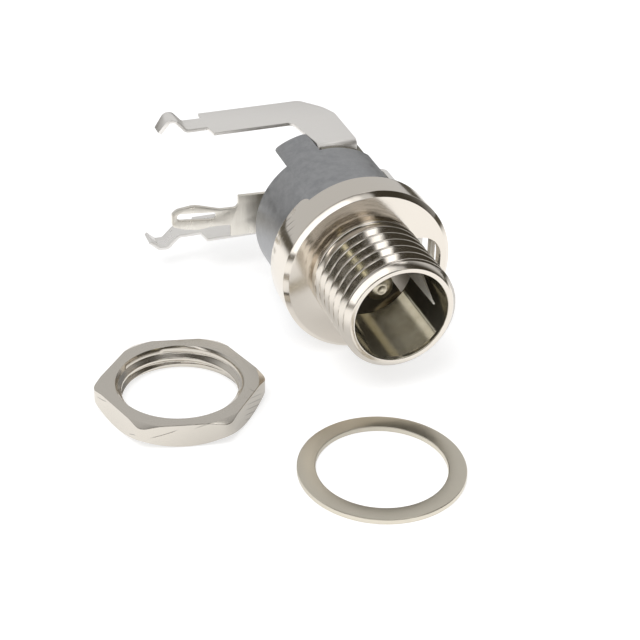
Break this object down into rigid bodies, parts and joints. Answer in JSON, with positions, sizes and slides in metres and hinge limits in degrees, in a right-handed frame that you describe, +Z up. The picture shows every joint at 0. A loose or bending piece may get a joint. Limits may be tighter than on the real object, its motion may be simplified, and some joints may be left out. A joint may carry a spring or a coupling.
{
  "type": "dc barrel jack",
  "caption": "Panel-mount dc power socket with threaded barrel, flange, board legs, hex nut and flat washer lying beside it.",
  "frame": {"origin": "on the socket's axis, in the front plane of the flange", "axes": "+Y from the mouth towards the rear, -X the way the board legs point, +Z up from the surface that everything lies on"},
  "size_m": [0.0257, 0.0355, 0.0122],
  "materials": {
    "plated_casting": "nickel plated zinc casting, bright barrel and flange, mottled satin shell",
    "insulator_plastic": "moulded, fine matt",
    "pin_metal": "nickel plated, turned",
    "terminal_metal": "plated sheet with fine rolling lines",
    "leg_metal": "plated sheet, satin",
    "spring_metal": "plated spring sheet, satin",
    "nut_metal": "nickel plated, turned faces, light scratches on the flats",
    "washer_metal": "nickel plated, satin"
  },
  "bodies": {
    "root": {"socket_body": "plated_casting", "insulator": "insulator_plastic", "centre_pin": "pin_metal", "pin_terminal": "terminal_metal", "switch_contact": "leg_metal", "sleeve_contact": "spring_metal", "hex_nut": "nut_metal", "flat_washer": "washer_metal"}
  },
  "joints": []
}
